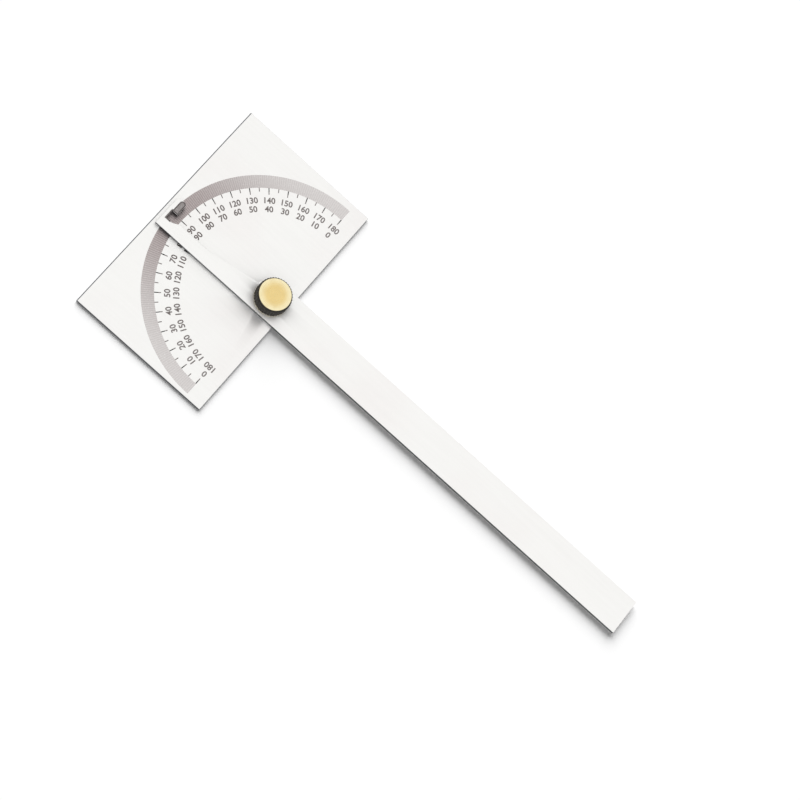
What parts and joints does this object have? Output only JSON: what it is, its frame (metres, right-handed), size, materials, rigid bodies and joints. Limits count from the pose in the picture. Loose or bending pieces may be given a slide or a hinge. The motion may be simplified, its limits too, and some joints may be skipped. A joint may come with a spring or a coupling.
{
  "type": "square-head goniometer",
  "caption": "Rectangular steel head with a half-circle angle scale, an arm with an index finger that swings over it, and a knurled brass thumb nut that clamps the arm.",
  "frame": {"origin": "on the pivot axis, at the flat back face that lies on the work", "axes": "+X along the arm to its free end, +Y along the head's long edge towards the end that the outer row of numbers counts up to, +Z out of the face of the scale towards the thumb nut"},
  "size_m": [0.197, 0.0872, 0.008],
  "materials": {
    "head_steel": "satin stainless sheet with printed grey graduations",
    "arm_steel": "satin stainless sheet",
    "stud_steel": "turned steel",
    "washer_steel": "plain steel",
    "nut_brass": "turned and knurled brass"
  },
  "bodies": {
    "head": {"head_plate": "head_steel", "pivot_stud": "stud_steel"},
    "arm": {"arm": "arm_steel"},
    "washer": {"clamp_washer": "washer_steel"},
    "nut": {"thumb_nut": "nut_brass"}
  },
  "joints": [
    {"name": "arm_swing", "type": "hinge", "parent": "head", "child": "arm", "pos_m": [0, 0, 0.0019], "axis": [0, 0, 1], "continuous": true},
    {"name": "nut_lift", "type": "slide", "parent": "head", "child": "washer", "axis": [0, 0, 1], "range_m": [0, 0.0028]},
    {"name": "nut_turn", "type": "hinge", "parent": "washer", "child": "nut", "pos_m": [0, 0, 0.0056], "axis": [0, 0, 1], "range_deg": [0, 1440]}
  ],
  "couplings": [
    {"joint": "nut_turn", "follows": "nut_lift", "rad_per_m": 8976}
  ]
}
